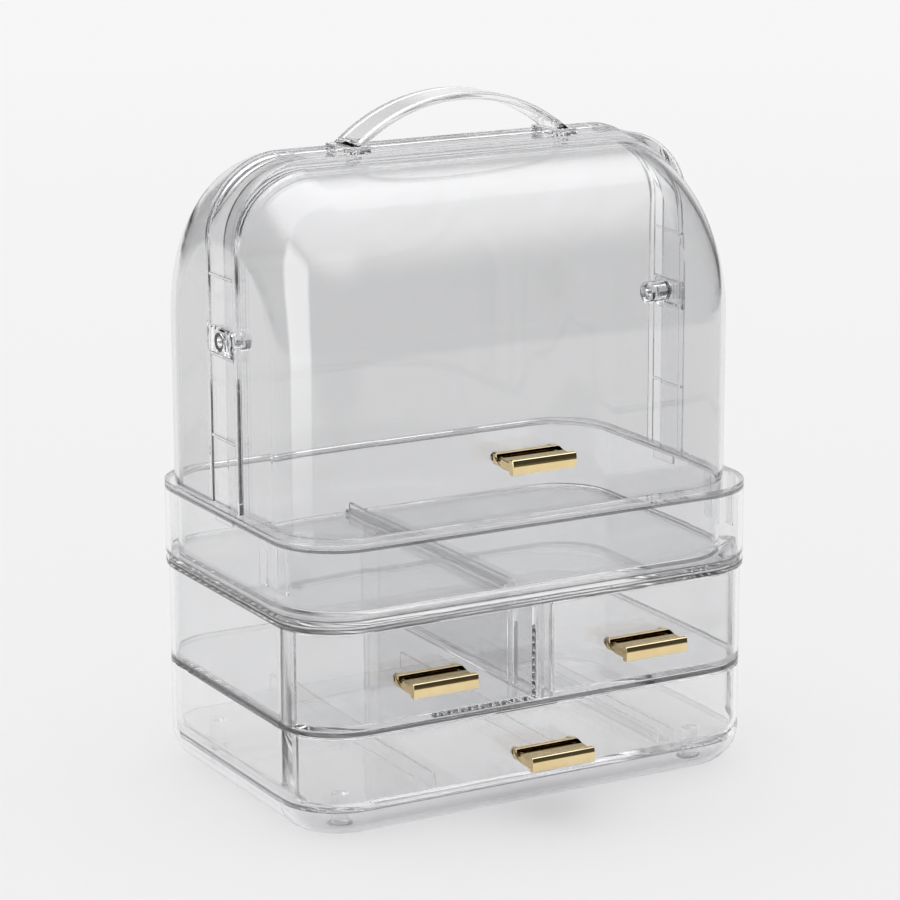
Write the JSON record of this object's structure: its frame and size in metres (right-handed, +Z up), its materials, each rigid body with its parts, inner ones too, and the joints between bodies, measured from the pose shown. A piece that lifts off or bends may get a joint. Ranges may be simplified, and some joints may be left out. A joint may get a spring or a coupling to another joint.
{
  "type": "makeup organizer",
  "caption": "Clear desktop cosmetics case with pull-out drawers, a divided tray under a dome with a tip-up front lid, and a carry handle.",
  "frame": {"origin": "under the middle of the overall box, on the surface that the case stands on", "axes": "+Z up, +Y towards the back of the case, +X towards its right side seen from the front; the drawers open towards -Y"},
  "size_m": [0.2808, 0.2144, 0.3713],
  "materials": {
    "clear_plastic": "polished, transparent",
    "gold_metal": "polished gold plate",
    "screw_steel": "plain machine screws",
    "foot_rubber": "translucent, satin"
  },
  "bodies": {
    "cabinet": {"base_case": "clear_plastic", "base_floor": "clear_plastic", "middle_shelf": "clear_plastic", "middle_case": "clear_plastic", "cabinet_top": "clear_plastic", "centre_divider": "clear_plastic", "upper_tub": "clear_plastic", "tray_insert": "clear_plastic", "tray_divider": "clear_plastic", "corner_peg": "clear_plastic", "arch_frame": "clear_plastic", "rear_cover": "clear_plastic", "left_pivot_block": "clear_plastic", "right_pivot_block": "clear_plastic", "left_pivot_pin": "clear_plastic", "right_pivot_pin": "clear_plastic", "left_pivot_knob": "clear_plastic", "right_pivot_knob": "clear_plastic", "carry_handle": "clear_plastic", "handle_dowels": "clear_plastic", "front_left_foot": "foot_rubber", "front_right_foot": "foot_rubber", "rear_left_foot": "foot_rubber", "rear_right_foot": "foot_rubber"},
    "left_drawer_body": {"left_drawer": "clear_plastic", "left_pull": "gold_metal", "left_pull_screws": "screw_steel"},
    "right_drawer_body": {"right_drawer": "clear_plastic", "right_pull": "gold_metal", "right_pull_screws": "screw_steel"},
    "bottom_drawer_body": {"bottom_drawer": "clear_plastic", "left_partition": "clear_plastic", "centre_partition": "clear_plastic", "right_partition": "clear_plastic", "bottom_pull": "gold_metal", "bottom_pull_screws": "screw_steel"},
    "lid_body": {"front_lid": "clear_plastic", "lid_pull": "gold_metal", "lid_pull_screws": "screw_steel"}
  },
  "joints": [
    {"name": "left_drawer_slide", "type": "slide", "parent": "cabinet", "child": "left_drawer_body", "axis": [0, -1, 0], "range_m": [0, 0.15]},
    {"name": "right_drawer_slide", "type": "slide", "parent": "cabinet", "child": "right_drawer_body", "axis": [0, -1, 0], "range_m": [0, 0.15]},
    {"name": "bottom_drawer_slide", "type": "slide", "parent": "cabinet", "child": "bottom_drawer_body", "axis": [0, -1, 0], "range_m": [0, 0.15]},
    {"name": "lid_hinge", "type": "hinge", "parent": "cabinet", "child": "lid_body", "pos_m": [0, 0.0098, 0.25], "axis": [-1, 0, 0], "range_deg": [0, 86]}
  ]
}
